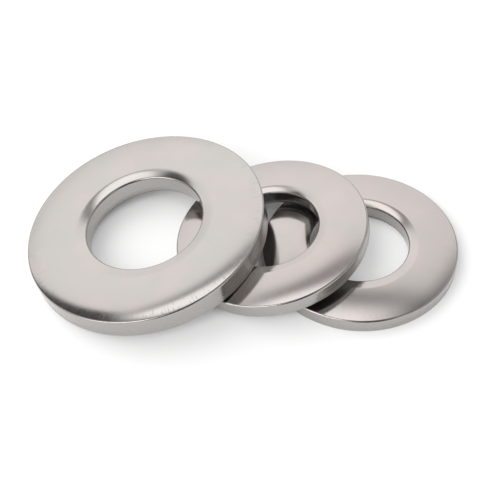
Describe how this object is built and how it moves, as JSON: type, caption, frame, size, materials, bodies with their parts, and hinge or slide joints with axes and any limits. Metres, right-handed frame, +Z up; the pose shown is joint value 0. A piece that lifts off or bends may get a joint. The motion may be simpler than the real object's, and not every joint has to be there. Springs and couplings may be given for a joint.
{
  "type": "flat washer",
  "caption": "Plain flat steel washers with rolled edges, leaning on each other in a row. Each spreads the load of a bolt head or nut over a surface.",
  "frame": {"origin": "on the hole axis of the washer that lies flat, at the surface the washers rest on", "axes": "+Z up along the flat washer's hole, -X along the row towards the large washer, -Y towards the front"},
  "size_m": [0.0372, 0.021, 0.005],
  "materials": {
    "flat_washer": "satin stainless",
    "middle_washer": "satin stainless",
    "large_washer": "satin stainless"
  },
  "bodies": {
    "flat": {"flat_washer": "flat_washer"},
    "middle": {"middle_washer": "middle_washer"},
    "large": {"large_washer": "large_washer"}
  },
  "joints": [
    {"name": "middle_lift", "type": "slide", "parent": "flat", "child": "middle", "axis": [0, 0, 1], "range_m": [0, 0.012]},
    {"name": "large_lift", "type": "slide", "parent": "middle", "child": "large", "axis": [0, 0, 1], "range_m": [0, 0.012]}
  ]
}
